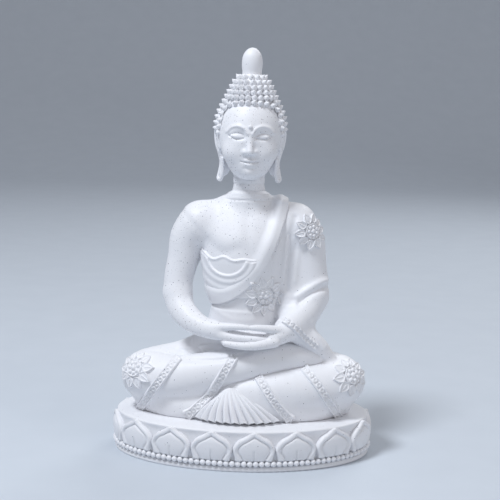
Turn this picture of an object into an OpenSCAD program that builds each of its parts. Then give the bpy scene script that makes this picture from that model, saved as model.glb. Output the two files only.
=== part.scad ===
// Seated meditating figure on an oval lotus base.
// Millimetres. +Z is up, the figure faces -Y, and the origin is the centre of the base's underside.
// The figure's right side is at -X. Heights of the figure's parts are measured from the seat,
// which is the top face of the base.

/* [Base] */
// Width over the petals
base_w = 80; // [78:1:90]
// Depth over the petals
base_d = 50; // [48:1:60]
// Height of the seat above the ground
base_h = 12; // [11:0.5:14]
// Height of the plain foot under the beads
foot_h = 1.6; // [1.2:0.1:2]
// Number of lotus petals around the wall
petal_count = 16; // [12:1:18]
// How far a petal stands out of the wall
petal_relief = 1.4; // [1:0.1:1.8]
// Share of one petal by which the ring is turned
petal_turn = 0.3; // [0:0.05:1]
// Diameter of one bead
bead_d = 1.7; // [1.5:0.1:1.8]
// Number of beads around the wall
bead_count = 112; // [100:1:116]

/* [Figure] */
// Width over the knees
knee_span = 75; // [72:1:76]
// Width over the shoulders
shoulder_span = 46.4; // [45:0.2:48]
// Height of the finial's tip above the seat
figure_h = 110; // [108:0.5:114]
// Thickness of the sash and of the ornaments' relief
trim_relief = 0.9; // [0.7:0.1:1.1]
// Thickness of the thin wrapped robe
robe_relief = 0.4; // [0.3:0.1:0.5]
// Width of the ornamental bands
band_w = 2.7; // [2.4:0.1:3]
// Radius of the flower ornaments, to their petal tips
flower_r = 6.2; // [5:0.2:6.6]
// Number of petals on a flower ornament
flower_petals = 10; // [8:1:12]

/* [Hair] */
// Diameter of one curl at its foot
curl_d = 2; // [1.6:0.1:2.1]
// Height of one curl
curl_h = 1.3; // [1:0.1:1.6]

/* [Hidden] */
PETALS = [for (i = [1:petal_count]) str("petal_", i < 10 ? "0" : "", i)];

form_fn = 18;         // sides of the limbs' rounded forms
section_fn = 28;      // sides of the torso's cross-sections
reach = 60;           // longer than any cut has to be
disc = 0.01;          // thickness of a cross-section that is hulled to the next

resin = "white";
bare_skin = "gainsboro";
cloth = "whitesmoke";
ornament = "ivory";

// ---------------------------------------------------------------- oval base

wall_a = base_w / 2 - petal_relief;
wall_b = base_d / 2 - petal_relief;
foot_a = wall_a + 0.6;
foot_b = wall_b + 0.6;
oval_steps = 360;

function oval_point(a, b, t) = [a * cos(t), b * sin(t)];
// Length of the wall's outline from its right end to each degree
function running(a, b) = [
    for (i = 0, s = 0; i <= oval_steps;
         s = s + norm(oval_point(a, b, i + 1) - oval_point(a, b, i)), i = i + 1) [s, i]];
wall_table = running(wall_a, wall_b);
wall_length = wall_table[oval_steps][0];
// The outline's parameter at a share u of its whole length, counted from the front
function wall_t(u) = lookup(((u + 0.75) % 1) * wall_length, wall_table);
function wall_point(u) = oval_point(wall_a, wall_b, wall_t(u));
// Direction in which the wall faces at the share u, in degrees
function wall_facing(u) = atan2(wall_a * sin(wall_t(u)), wall_b * cos(wall_t(u)));

// One flat facet of the wall for each bead
wall_facets = [for (i = [0:bead_count - 1]) wall_point((i + 0.5) / bead_count)];

module oval(a, b) polygon([for (t = [0:3:357]) oval_point(a, b, t)]);

module pedestal_core() {
    color(resin) translate([0, 0, foot_h]) linear_extrude(base_h - foot_h) polygon(wall_facets);
}

module pedestal_foot() {
    color(resin) linear_extrude(foot_h) oval(foot_a, foot_b);
}

// A half bead whose flat back lies on its own facet of the wall
module bead_border() {
    color(ornament)
    for (i = [0:bead_count - 1]) {
        back = (wall_facets[i] + wall_facets[(i + bead_count - 1) % bead_count]) / 2;
        translate([back[0], back[1], foot_h + bead_d / 2])
            rotate([0, 0, wall_facing(i / bead_count)])
                rotate([0, 90, 0])
                    rotate_extrude($fn = 24)
                        intersection() {
                            circle(bead_d / 2, $fn = 24);
                            square(bead_d);
                        }
    }
}

petal_foot_z = foot_h + bead_d + 0.1;
petal_h = base_h - 0.2 - petal_foot_z;
petal_w = wall_length / petal_count - 0.4;
// Half width of a petal at a share v of its height: full at the middle, pointed at the top
function petal_half(v) = petal_w / 2 * (v < 0.45
    ? 0.86 + 0.14 * sin(v / 0.45 * 90)
    : pow(cos((v - 0.45) / 0.55 * 90), 0.8));
petal_rows = 14;
petal_outline = concat(
    [for (i = [0:petal_rows]) [petal_half(i / petal_rows), petal_h * i / petal_rows]],
    [for (i = [petal_rows - 1:-1:0]) [-petal_half(i / petal_rows), petal_h * i / petal_rows]]);

// One petal: the piece of a raised oval shell that lies behind the petal's outline
module petal(i) {
    u = (i + petal_turn) / petal_count;
    at = wall_point(u);
    color(ornament)
    intersection() {
        translate([0, 0, petal_foot_z]) linear_extrude(petal_h)
            difference() {
                oval(wall_a + petal_relief, wall_b + petal_relief);
                polygon(wall_facets);
            }
        translate([at[0], at[1], petal_foot_z])
            rotate([90, 0, wall_facing(u) + 90])
                translate([0, 0, -3]) linear_extrude(6) polygon(petal_outline);
    }
}

// ---------------------------------------------------------------- forms of the figure

module egg(at, r) translate(at) scale(r) sphere(1, $fn = form_fn);

// A limb: each egg in the path is joined to the next, and grow thickens them all
module limb(path, grow = 0) {
    for (i = [0:len(path) - 2])
        hull() {
            egg(path[i][0], path[i][1] + grow * [1, 1, 1]);
            egg(path[i + 1][0], path[i + 1][1] + grow * [1, 1, 1]);
        }
}

// A body made of level ovals: [height, half width, front, back]
module stack(levels, grow = 0) {
    for (i = [0:len(levels) - 2])
        hull() for (s = [levels[i], levels[i + 1]])
            translate([0, (s[2] + s[3]) / 2, s[0]])
                linear_extrude(disc)
                    scale([s[1] + grow, (s[3] - s[2]) / 2 + grow]) circle(1, $fn = section_fn);
}

// Everything on one side of a level, to cut forms off flat
module above(z) translate([-reach, -reach, z]) cube([2 * reach, 2 * reach, reach]);
module below(z) translate([-reach, -reach, z - reach]) cube([2 * reach, 2 * reach, reach]);

seat_z = 0;
hips_top = 19;
neck_foot = 65.2;
crown_cut = 101;

hips_levels = [[seat_z, 22, -3, 18.5], [4, 24.5, -3, 20], [10, 24, -4, 20],
               [15, 20.5, -5, 17.5], [hips_top, 15, -6, 14.5]];
torso_levels = [[hips_top, 13, -6.5, 14], [26, 11.6, -6.5, 12.8], [32.6, 10.2, -6.5, 12],
                [39, 12.6, -6.8, 12.6], [46, 13.8, -7.3, 13], [52, 15, -6.8, 13],
                [58, 16.8, -4.6, 12.2], [62, 15.6, -2, 10.8], [64.2, 12.6, -0.8, 9.6],
                [neck_foot, 6.4, -1.3, 8.7]];

knee_r = [8.5, 8.2, 8.2];
knee_x = knee_span / 2 - knee_r[0];
right_leg_path = [
    [[-9, 8, 11], [10, 9, 10.5]],
    [[-21, 5.5, 11.3], [9.5, 9, 9.8]],
    [[-knee_x, -1.5, 11.2], knee_r],
    [[-17, -6, 9.5], [8.5, 8, 9.5]],
    [[-5, -8, 13.5], [6, 6.5, 7]],
    [[8, -7.5, 16.8], [5.5, 5.5, 5]],
    [[20, -3, 17.5], [5, 5, 4]]];
left_leg_path = [
    [[9, 8, 10.5], [10, 9, 10]],
    [[21, 5.5, 10.5], [9.5, 9, 9.2]],
    [[knee_x, -1.5, 10.8], knee_r],
    [[16, -7, 8], [8, 7.5, 8]],
    [[4, -8.5, 7], [6.5, 6.5, 7]],
    [[-8, -6, 6], [5, 5, 6]]];

shoulder_r = [10, 6.3, 7.8];
shoulder_x = shoulder_span / 2 - shoulder_r[0];
elbow_right = [-20.8, 2.5, 35.5];
right_upper_arm_path = [
    [[-shoulder_x, 4.5, 56.4], shoulder_r],
    [[-19.3, 4, 46], [4.7, 5.2, 5]],
    [elbow_right, [4.4, 4.6, 4.6]]];
right_forearm_path = [
    [elbow_right, [4.2, 4.4, 4.4]],
    [[-17.7, -3, 29.6], [3.9, 3.9, 3.9]],
    [[-9, -9.5, 26.8], [2.9, 2.9, 2.6]]];
elbow_left = [20.6, 2.2, 36];
left_upper_path = [
    [[shoulder_x, 4.5, 56.4], shoulder_r],
    [[18.8, 4, 46], [5.8, 5.8, 5]],
    [elbow_left, [5.3, 5.3, 5.3]]];
left_lower_path = [
    [elbow_left, [5.1, 5.1, 5.1]],
    [[16.8, -3.5, 30.5], [4.8, 4.8, 4.8]],
    [[12, -8.5, 27.5], [3.2, 3.2, 3]]];
sleeve_drape_path = [
    [[17, -4.5, 29], [4, 3.4, 4]],
    [[24.5, -3.5, 19.5], [3, 3, 3]]];
right_hand_path = [
    [[-8, -10, 26.6], [2.9, 3, 2.4]],
    [[0, -11, 26], [4, 3.2, 1.7]],
    [[8, -11.5, 25.6], [3, 2.6, 1.4]]];
left_hand_path = [
    [[12, -9.5, 26], [3, 3.2, 2.5]],
    [[4, -12, 24], [4.5, 3.4, 1.8]],
    [[-5, -12.5, 23.6], [3, 2.6, 1.4]]];

module hips_form() intersection() {
    stack(hips_levels);
    above(seat_z);
}
module torso_form(grow = 0) stack(torso_levels, grow);
module right_leg_form(grow = 0) limb(right_leg_path, grow);
module left_leg_form(grow = 0) limb(left_leg_path, grow);
module sleeve_lower_form(grow = 0) {
    limb(left_lower_path, grow);
    limb(sleeve_drape_path, grow);
}
module arms_form() {
    limb(right_upper_arm_path);
    limb(right_forearm_path);
    limb(left_upper_path);
    sleeve_lower_form();
}

// ---------------------------------------------------------------- seat and legs

module hips() color(cloth) hips_form();

module right_leg() {
    color(cloth)
    difference() {
        right_leg_form();
        hips_form();
        below(seat_z);
        torso_form();
    }
}

module left_leg() {
    color(cloth)
    difference() {
        left_leg_form();
        right_leg_form();
        hips_form();
        below(seat_z);
        torso_form();
    }
}

// Cloth fanned out in pleats on the seat, in front of the crossed shins
fan_apex = [0, -11.5, 10];
fan_from = 200;
fan_to = 335;
fan_pleats = 11;
fan_a = 13.5;
fan_b = 12;
fan_centre = [0.5, -6];
function fan_hem(i) = let (
    t = fan_from + (fan_to - fan_from) * i / (2 * fan_pleats),
    out = i % 2 == 0 ? 1 : 0.94)
    [fan_centre[0] + fan_a * out * cos(t), fan_centre[1] + fan_b * out * sin(t)];

module skirt_fan() {
    color(cloth)
    difference() {
        for (i = [0:2 * fan_pleats - 1])
            hull() {
                translate(fan_apex) sphere(0.8, $fn = 8);
                translate([0, -9, 0]) cylinder(h = 3, r = 2, $fn = 8);
                for (k = [i, i + 1])
                    translate([fan_hem(k)[0], fan_hem(k)[1], 0])
                        cylinder(h = k % 2 == 0 ? 1.6 : 0.7, r = 0.3, $fn = 6);
            }
        right_leg_form();
        left_leg_form();
        below(seat_z);
    }
}

// ---------------------------------------------------------------- bands and flowers

// A slab that stands behind the straight line from a to b as seen from the front, [x, z] each
module front_slab(a, b, w) {
    d = b - a;
    translate([a[0], 0, a[1]])
        rotate([0, -atan2(d[1], d[0]), 0])
            translate([0, -reach, -w / 2]) cube([norm(d), reach, w]);
}

module right_leg_band(a, b) {
    color(ornament)
    difference() {
        intersection() {
            right_leg_form(trim_relief);
            front_slab(a, b, band_w);
        }
        right_leg_form();
        left_leg_form();
        hips_form();
        torso_form();
        skirt_fan();
        below(seat_z);
    }
}

module left_leg_band(a, b) {
    color(ornament)
    difference() {
        intersection() {
            left_leg_form(trim_relief);
            front_slab(a, b, band_w);
        }
        left_leg_form();
        right_leg_form();
        hips_form();
        skirt_fan();
        below(seat_z);
    }
}

module cuff_band() {
    color(ornament)
    difference() {
        intersection() {
            sleeve_lower_form(trim_relief);
            front_slab([13, 27.5], [25.5, 18.5], band_w);
        }
        sleeve_lower_form();
        right_leg_form();
        left_leg_form();
        limb(left_hand_path);
        torso_form(robe_relief);
    }
}

// Outline of a flower: pointed petals round a disc
flower_steps = 6;
function flower_edge(k) = let (swing = abs(sin(180 * k / flower_steps)))
    flower_r * (0.62 + 0.38 * pow(swing, 0.7));
module flower_prism(at, facing, tip) {
    translate(at) rotate([0, 90 - tip, facing])
        rotate([0, 0, 90 / flower_petals])
            linear_extrude(12, center = true)
                polygon([for (k = [0:flower_steps * flower_petals - 1])
                    flower_edge(k) * [cos(360 * k / flower_steps / flower_petals),
                                      sin(360 * k / flower_steps / flower_petals)]]);
}

module flower_right_knee() {
    color(ornament)
    difference() {
        intersection() {
            right_leg_form(trim_relief);
            flower_prism([-33.5, -8, 15], 240, 25);
        }
        right_leg_form();
        front_slab([-19.5, 20], [-32, -1], band_w + 0.2);
    }
}

module flower_left_knee() {
    color(ornament)
    difference() {
        intersection() {
            left_leg_form(trim_relief);
            flower_prism([33.5, -8, 14.5], 300, 25);
        }
        left_leg_form();
        front_slab([18.5, 18], [30, -1], band_w + 0.2);
    }
}

module flower_chest() {
    color(ornament)
    difference() {
        intersection() {
            torso_form(robe_relief + trim_relief);
            flower_prism([7.4, -6, 36.9], 275, 0);
        }
        torso_form(robe_relief);
        arms_form();
        sash_region();
    }
}

module flower_shoulder() {
    color(ornament)
    difference() {
        intersection() {
            limb(left_upper_path, trim_relief);
            flower_prism([21, -0.5, 56.6], 315, 12);
        }
        limb(left_upper_path);
        torso_form(trim_relief);
    }
}

// ---------------------------------------------------------------- torso and robe

// Points of the sash's two edges, from the left shoulder down to the right side of the waist
sash_lower_edge = [[12.6, 66], [12, 62], [10.7, 57.5], [8.3, 50.7], [5.1, 44.7], [1, 39.4],
                   [-4.2, 34.9], [-8.5, 32.8], [-16, 31.5]];
sash_upper_edge = [[-16, 39], [-9, 39.5], [-3.5, 42.5], [1.1, 47.2], [4.8, 55], [6.6, 61], [7.4, 66]];

module front_to_back(outline) rotate([90, 0, 0]) linear_extrude(2 * reach, center = true) polygon(outline);
module sash_region() front_to_back(concat(sash_lower_edge, sash_upper_edge));
// The robe covers everything on the left of, and below, the sash
module robe_region() front_to_back(concat(
    sash_lower_edge, [[-16, hips_top], [20, hips_top], [20, 66]]));

module torso() {
    color(bare_skin)
    torso_form();
}

module sash() {
    color(cloth)
    difference() {
        intersection() {
            torso_form(trim_relief);
            sash_region();
            above(hips_top);
        }
        torso_form();
        arms_form();
        above(neck_foot - 0.2);
    }
}

module robe_wrap() {
    color(cloth)
    difference() {
        intersection() {
            torso_form(robe_relief);
            robe_region();
            above(hips_top);
        }
        torso_form();
        arms_form();
        right_leg_form();
        left_leg_form();
        limb(right_hand_path);
        above(neck_foot - 0.6);
    }
}

// The loose inner robe that hangs in a pocket under the right breast
module sash_underfold() {
    color(cloth)
    difference() {
        intersection() {
            torso_form(robe_relief + 0.2);
            front_to_back(concat([for (i = [0:3]) sash_upper_edge[i]],
                [[1.6, 49], [-1, 48], [-6, 47.4], [-11, 47], [-16, 49.5]]));
            translate([-reach, -reach, 0]) cube([2 * reach, reach, 2 * reach]);
        }
        torso_form();
        sash_region();
        arms_form();
    }
}

// ---------------------------------------------------------------- arms and hands

module right_upper_arm() {
    color(bare_skin)
    difference() {
        limb(right_upper_arm_path);
        torso_form();
    }
}

module right_forearm() {
    color(bare_skin)
    difference() {
        limb(right_forearm_path);
        limb(right_upper_arm_path);
        torso_form();
        right_leg_form();
    }
}

module left_sleeve_upper() {
    color(cloth)
    difference() {
        limb(left_upper_path);
        torso_form();
    }
}

module left_sleeve_lower() {
    color(cloth)
    difference() {
        sleeve_lower_form();
        limb(left_upper_path);
        torso_form();
        left_leg_form();
        right_leg_form();
        hips_form();
    }
}

module right_hand() {
    color(bare_skin)
    difference() {
        limb(right_hand_path);
        limb(right_forearm_path);
        torso_form();
        right_leg_form();
        sleeve_lower_form();
    }
}

module left_hand() {
    color(bare_skin)
    difference() {
        limb(left_hand_path);
        limb(right_hand_path);
        limb(right_forearm_path);
        sleeve_lower_form();
        right_leg_form();
        left_leg_form();
    }
}

// ---------------------------------------------------------------- neck and head

skull_at = [0, 3.5, 86];
skull_r = [9.6, 10.8, 10.5];
jaw_at = [0, -0.6, 77.6];
jaw_r = [6.2, 6.8, 6];
hair_at = [0, 4.4, 86.4];
hair_r = [10.4, 11.6, 11.2];
hairline_z = 93;
nape_lat = -50;
bun_at = [0, 3.6, 95.2];
bun_r = [6, 6, 7.4];
neck_r = 4.8;
neck_y = 3.7;

module head_form() hull() {
    egg(skull_at, skull_r);
    egg(jaw_at, jaw_r);
}

// The hair's outer form, open in front of the face and cut off at the nape
hair_levels = [for (lat = [nape_lat:12:82])
    [hair_at[2] + hair_r[2] * sin(lat), hair_r[0] * cos(lat),
     hair_at[1] - hair_r[1] * cos(lat), hair_at[1] + hair_r[1] * cos(lat)]];
module hair_form() {
    difference() {
        stack(hair_levels);
        translate([-reach, -reach, hairline_z - reach]) cube([2 * reach, reach, reach]);
    }
}

module neck() {
    color(bare_skin)
    difference() {
        stack([[neck_foot, 6.4, -1.3, 8.7], [67.2, neck_r, neck_y - neck_r, neck_y + neck_r],
               [80, neck_r, neck_y - neck_r, neck_y + neck_r]]);
        head_form();
        hair_form();
        torso_form();
    }
}

module head() color(bare_skin) head_form();

module ear(side) {
    color(bare_skin)
    difference() {
        limb([[[side * 9.8, 3, 84], [1.4, 2.6, 4.2]],
              [[side * 8.6, 2.6, 76], [1, 1.6, 2.4]],
              [[side * 9, 2, 70.6], [0.9, 1.8, 1.6]]]);
        head_form();
        hair_form();
    }
}

// A low dome with a flat back, which lies on the brow
urna_r = 0.9;
urna_at = [0, -7.1, 86.8];
urna_back = -7.3;
module urna() {
    color(ornament)
    difference() {
        egg(urna_at, urna_r * [1, 1, 1]);
        translate([-reach, urna_back, -reach]) cube(2 * reach);
    }
}

module hair_cap() {
    color(resin)
    difference() {
        hair_form();
        head_form();
    }
}

module ushnisha() {
    color(resin)
    difference() {
        egg(bun_at, bun_r);
        stack(hair_levels);
        above(crown_cut);
    }
}

// A pointed curl with its foot on an egg-shaped form, at a longitude and a latitude
module curl_on(at, r, lon, lat) {
    p = [r[0] * cos(lat) * cos(lon), r[1] * cos(lat) * sin(lon), r[2] * sin(lat)];
    n = [p[0] / pow(r[0], 2), p[1] / pow(r[1], 2), p[2] / pow(r[2], 2)];
    translate(at + p)
        rotate([0, acos(n[2] / norm(n)), atan2(n[1], n[0])])
            cylinder(h = curl_h, r1 = curl_d / 2, r2 = 0.25, $fn = 16);
}

// Rows of curls between two latitudes; a row starts half a curl further round than the last
module curl_rows(at, r, lat_from, lat_to, rows) {
    for (row = [0:rows - 1]) {
        lat = lat_from + (lat_to - lat_from) * row / (rows - 1);
        count = floor(360 * cos(lat) * (r[0] + r[1]) / 2 / (57.3 * (curl_d + 0.15)));
        for (k = [0:count - 1]) {
            lon = (k + (row % 2) / 2) * 360 / count;
            y = at[1] + r[1] * cos(lat) * sin(lon);
            z = at[2] + r[2] * sin(lat);
            clear_of_face = y > 0.6 || z > hairline_z + 0.8;
            clear_of_ear = z > 87.5 || y > 6.5;
            if (clear_of_face && clear_of_ear) curl_on(at, r, lon, lat);
        }
    }
}

module hair_curls() color(resin) curl_rows(hair_at, hair_r, -24, 48, 8);
module ushnisha_curls() color(resin) curl_rows(bun_at, bun_r, 8, 48, 3);

// A bullet-shaped jewel on the crown, and its width at a share v of its height
finial_r = 3.2;
finial_h = figure_h - crown_cut;
function finial_width(v) = v < 0.5
    ? 0.94 + 0.06 * sin(180 * v)
    : sqrt(1 - pow((v - 0.5) / 0.5, 2.6));
module finial() {
    color(ornament)
    translate([bun_at[0], bun_at[1], crown_cut])
        rotate_extrude($fn = 48)
            polygon(concat([[0, 0]], [for (v = [0:0.1:1]) [finial_r * finial_width(v), finial_h * v]]));
}

// ---------------------------------------------------------------- nodes

module seated() translate([0, 0, base_h]) children();

pedestal_core();
pedestal_foot();
bead_border();
for (i = [0:petal_count - 1]) petal(i);
seated() hips();
seated() right_leg();
seated() left_leg();
seated() skirt_fan();
seated() right_leg_band([-19.5, 20], [-32, -1]);  // band_right_knee
seated() right_leg_band([-3.4, 21], [-18, -1]);  // band_right_shin
seated() left_leg_band([4.5, 16], [16, -1]);  // band_left_shin
seated() left_leg_band([18.5, 18], [30, -1]);  // band_left_knee
seated() flower_right_knee();
seated() flower_left_knee();
seated() torso();
seated() robe_wrap();
seated() sash();
seated() sash_underfold();
seated() right_upper_arm();
seated() right_forearm();
seated() left_sleeve_upper();
seated() left_sleeve_lower();
seated() cuff_band();
seated() right_hand();
seated() left_hand();
seated() flower_chest();
seated() flower_shoulder();
seated() neck();
seated() head();
seated() ear(-1);  // right_ear
seated() ear(1);  // left_ear
seated() urna();
seated() hair_cap();
seated() hair_curls();
seated() ushnisha();
seated() ushnisha_curls();
seated() finial();
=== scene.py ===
"""Looks for the seated meditating figure on its oval lotus base.

The body is sculpted as smooth distance fields and meshed. Ornaments are relief grids laid on those
fields. Up to the floor, lengths are millimetres measured from the middle of the seat, which is the
top face of the base, and put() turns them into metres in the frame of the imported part.
"""

import math

import bpy
import numpy as np
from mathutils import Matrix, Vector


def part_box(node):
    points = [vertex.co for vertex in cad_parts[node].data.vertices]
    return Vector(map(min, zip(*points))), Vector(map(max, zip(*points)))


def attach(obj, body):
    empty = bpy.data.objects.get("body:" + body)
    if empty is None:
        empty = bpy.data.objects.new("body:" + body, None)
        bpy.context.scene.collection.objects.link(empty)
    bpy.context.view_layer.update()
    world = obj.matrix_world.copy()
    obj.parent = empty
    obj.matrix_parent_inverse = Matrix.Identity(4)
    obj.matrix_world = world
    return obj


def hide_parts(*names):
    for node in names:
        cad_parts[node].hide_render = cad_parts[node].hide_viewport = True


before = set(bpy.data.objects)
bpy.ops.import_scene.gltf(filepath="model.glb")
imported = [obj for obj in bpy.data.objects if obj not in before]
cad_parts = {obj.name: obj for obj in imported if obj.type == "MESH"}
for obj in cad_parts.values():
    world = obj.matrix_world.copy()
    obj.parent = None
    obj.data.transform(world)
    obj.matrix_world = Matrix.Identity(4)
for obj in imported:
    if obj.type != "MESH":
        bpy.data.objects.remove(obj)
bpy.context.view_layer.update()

import openvdb
from mathutils import Matrix, Vector

COARSER = 1.0


def box_mm(node):
    """Lowest and highest corner of a CAD node, in millimetres above the ground."""
    low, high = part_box(node)
    return np.array(low) * 1000, np.array(high) * 1000


SEAT_Z = box_mm("pedestal_core")[1][2]
FOOT_TOP = box_mm("pedestal_foot")[1][2]
WALL_A, WALL_B = box_mm("pedestal_core")[1][:2]
FOOT_A, FOOT_B = box_mm("pedestal_foot")[1][:2]

# ---- curves


def spline(points, steps):
    """A Catmull-Rom curve through rows of numbers."""
    p = np.array(points, float)
    p = np.vstack([2 * p[0] - p[1], p, 2 * p[-1] - p[-2]])
    t = np.linspace(0, 1, steps, endpoint=False)[:, None]
    spans = [
        0.5 * (2 * b + (c - a) * t + (2 * a - 5 * b + 4 * c - d) * t**2 + (3 * b - a - 3 * c + d) * t**3)
        for a, b, c, d in zip(p[:-3], p[1:-2], p[2:-1], p[3:])
    ]
    return np.vstack(spans + [p[-2:-1]])


def lengths_along(path):
    """How far each point of a path lies along it."""
    return np.concatenate([[0], np.cumsum(np.linalg.norm(np.diff(path, axis=0), axis=1))])


def mirrored(point):
    """The same point on the other side of the figure."""
    return [-point[0], *point[1:]]


def across(half):
    """A line across the middle of the figure, from the half that ends at x = 0."""
    return half + [mirrored(point) for point in half[-2::-1]]


def ramp(x, low, high):
    """0 below low, 1 above high, and smooth between them."""
    t = np.clip((x - low) / (high - low), 0, 1)
    return t * t * (3 - 2 * t)


def hump(x, width):
    """1 where x is 0, falling to nothing a few widths away."""
    return np.exp(-((x / width) ** 2))


def line_distance(p, points, steps=5):
    """Distance from p to a curve, and on which side of it p lies (1 is left of its direction).
    Rows of p and of points are of the same length, 2 or 3. Sides are for 2 only."""
    path = spline(points, steps)
    best = np.full(len(p), 1e9)
    side = np.ones(len(p))
    for a, b in zip(path[:-1], path[1:]):
        ab = b - a
        q = p - a
        t = np.clip(q @ ab / (ab @ ab), 0, 1)
        q = q - t[:, None] * ab
        d = np.einsum("ij,ij->i", q, q)
        closer = d < best
        best = np.where(closer, d, best)
        if len(ab) == 2:
            side = np.where(closer, np.sign(ab[0] * q[:, 1] - ab[1] * q[:, 0]), side)
    return np.sqrt(best), side


# ---- distance fields


def egg(centre, radii):
    """An ellipsoid."""
    centre, radii = np.array(centre, float), np.array(radii, float)

    def field(p):
        q = (p - centre) / radii
        k = np.sqrt(np.einsum("ij,ij->i", q, q))
        q = q / radii
        return k * (k - 1) / np.maximum(np.sqrt(np.einsum("ij,ij->i", q, q)), 1e-6)

    return field


def limb(points, steps=4):
    """A rounded limb through rows of x, y, z and radius."""
    path = spline(points, steps)

    def field(p):
        best = np.full(len(p), 1e9)
        for a, b in zip(path[:-1], path[1:]):
            ab = b[:3] - a[:3]
            q = p - a[:3]
            t = np.clip(q @ ab / (ab @ ab), 0, 1)
            q = q - t[:, None] * ab
            d = np.sqrt(np.einsum("ij,ij->i", q, q)) - a[3] - t * (b[3] - a[3])
            best = np.minimum(best, d)
        return best

    return field


def tower(levels):
    """A body made of level ovals: rows of height, half width, front and back."""
    z, width, front, back = spline(levels, 5).T
    slope = np.gradient(width, z)

    def field(p):
        a = np.interp(p[:, 2], z, width)
        f, r = np.interp(p[:, 2], z, front), np.interp(p[:, 2], z, back)
        b = (r - f) / 2
        x, y = p[:, 0], p[:, 1] - (f + r) / 2
        k = np.hypot(x / a, y / b)
        d = k * (k - 1) / np.maximum(np.hypot(x / a**2, y / b**2), 1e-6)
        d = d / np.sqrt(1 + np.interp(p[:, 2], z, slope) ** 2)
        return np.maximum(d, np.maximum(z[0] - p[:, 2], p[:, 2] - z[-1]))

    return field


def merge(a, b, k):
    """Union of two distances with a fillet of size k."""
    h = np.maximum(k - np.abs(a - b), 0) / k
    return np.minimum(a, b) - h * h * k / 4


def join(k, *fields):
    """Union of fields with fillets of size k."""

    def field(p):
        d = fields[0](p)
        for f in fields[1:]:
            d = merge(d, f(p), k)
        return d

    return field


def cut(field, tool, k=0.3):
    """field without tool, with an edge rounded by k."""
    return lambda p: -merge(-field(p), tool(p), k)


def seated(field):
    """field cut off level at the seat."""
    return cut(field, lambda p: p[:, 2])


SINK = 0.03  # how far a neighbour's fillet ends under the surface it runs into


def onto(child, parent, k):
    """child with a fillet that runs out smoothly on the parent's surface. The result overlaps the
    parent inside, so that no seam shows where two pieces of one casting meet."""

    def field(p):
        a, b = child(p), parent(p)
        return np.maximum(merge(a, b + SINK, k), a - k)

    return field


def folded(field, *folds):
    """field with folds: each is (points in x and z, or x, y and z; height; width). A height above 0
    is a ridge and below 0 a groove. Those in x and z lie on the front."""

    def shaped(p):
        d = field(p)
        for points, height, width in folds:
            if len(points[0]) == 2:
                away = line_distance(p[:, [0, 2]], points)[0]
                d = d - height * hump(away, width) * (1 - ramp(p[:, 1], 0, 4))
            else:
                d = d - height * hump(line_distance(p, points)[0], width)
        return d

    return shaped


# ---- material

STONE_COLOUR = (0.83, 0.84, 0.875)
STONE_WARM = (0.83, 0.8274, 0.835625)  # what the faint clouds lean to
GRAIN_CELL, GRAIN_SIZE = 0.0006, 0.23  # cells in metres, grains as a share of a cell
FAINT_CELL, FAINT_SIZE = 0.00038, 0.34


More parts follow.
